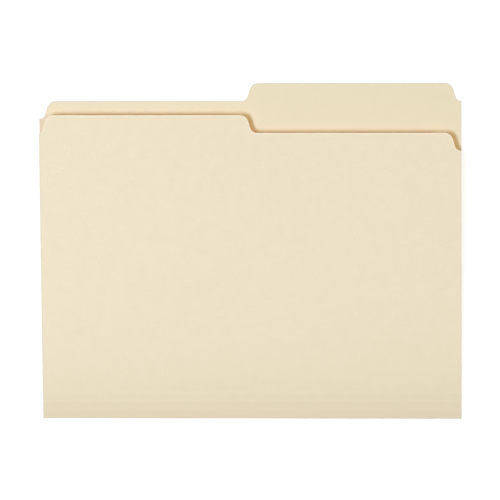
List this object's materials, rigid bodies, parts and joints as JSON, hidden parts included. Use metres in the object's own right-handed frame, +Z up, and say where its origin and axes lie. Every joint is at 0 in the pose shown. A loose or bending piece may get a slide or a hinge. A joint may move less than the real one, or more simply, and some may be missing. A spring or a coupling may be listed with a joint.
{
  "type": "manila folder",
  "caption": "Letter-size manila file folder: one folded sheet with a right-hand index tab, a stepped front panel and scored, expandable bottom.",
  "frame": {"origin": "centre of the bounding box in plan, on the underside of the back panel", "axes": "+X to the right along the fold, +Y from the fold towards the tab, +Z up from the back panel towards the front panel"},
  "size_m": [0.2984, 0.2413, 0.0066],
  "materials": {
    "manila_board": "matte"
  },
  "bodies": {
    "back_panel": {"back_panel": "manila_board"},
    "gusset_strip_1": {"fold_bead": "manila_board", "gusset_strip_1": "manila_board"},
    "gusset_strip_2": {"gusset_strip_2": "manila_board"},
    "gusset_strip_3": {"gusset_strip_3": "manila_board"},
    "front_panel": {"front_panel": "manila_board"}
  },
  "joints": [
    {"name": "cover_open", "type": "hinge", "parent": "back_panel", "child": "gusset_strip_1", "pos_m": [0, -0.1203, 0.00035], "axis": [1, 0, 0], "range_deg": [-1.5, 177], "stiffness_Nm_per_rad": 0.009, "springref_deg": 91.67},
    {"name": "score_1_fold", "type": "hinge", "parent": "gusset_strip_1", "child": "gusset_strip_2", "pos_m": [0, -0.11397, 0.00089], "axis": [-1, 0, 0], "range_deg": [-30, 0]},
    {"name": "score_2_fold", "type": "hinge", "parent": "gusset_strip_2", "child": "gusset_strip_3", "pos_m": [0, -0.10763, 0.00122], "axis": [-1, 0, 0], "range_deg": [-30, 0]},
    {"name": "score_3_fold", "type": "hinge", "parent": "gusset_strip_3", "child": "front_panel", "pos_m": [0, -0.10129, 0.00156], "axis": [-1, 0, 0], "range_deg": [-30, 0]}
  ]
}
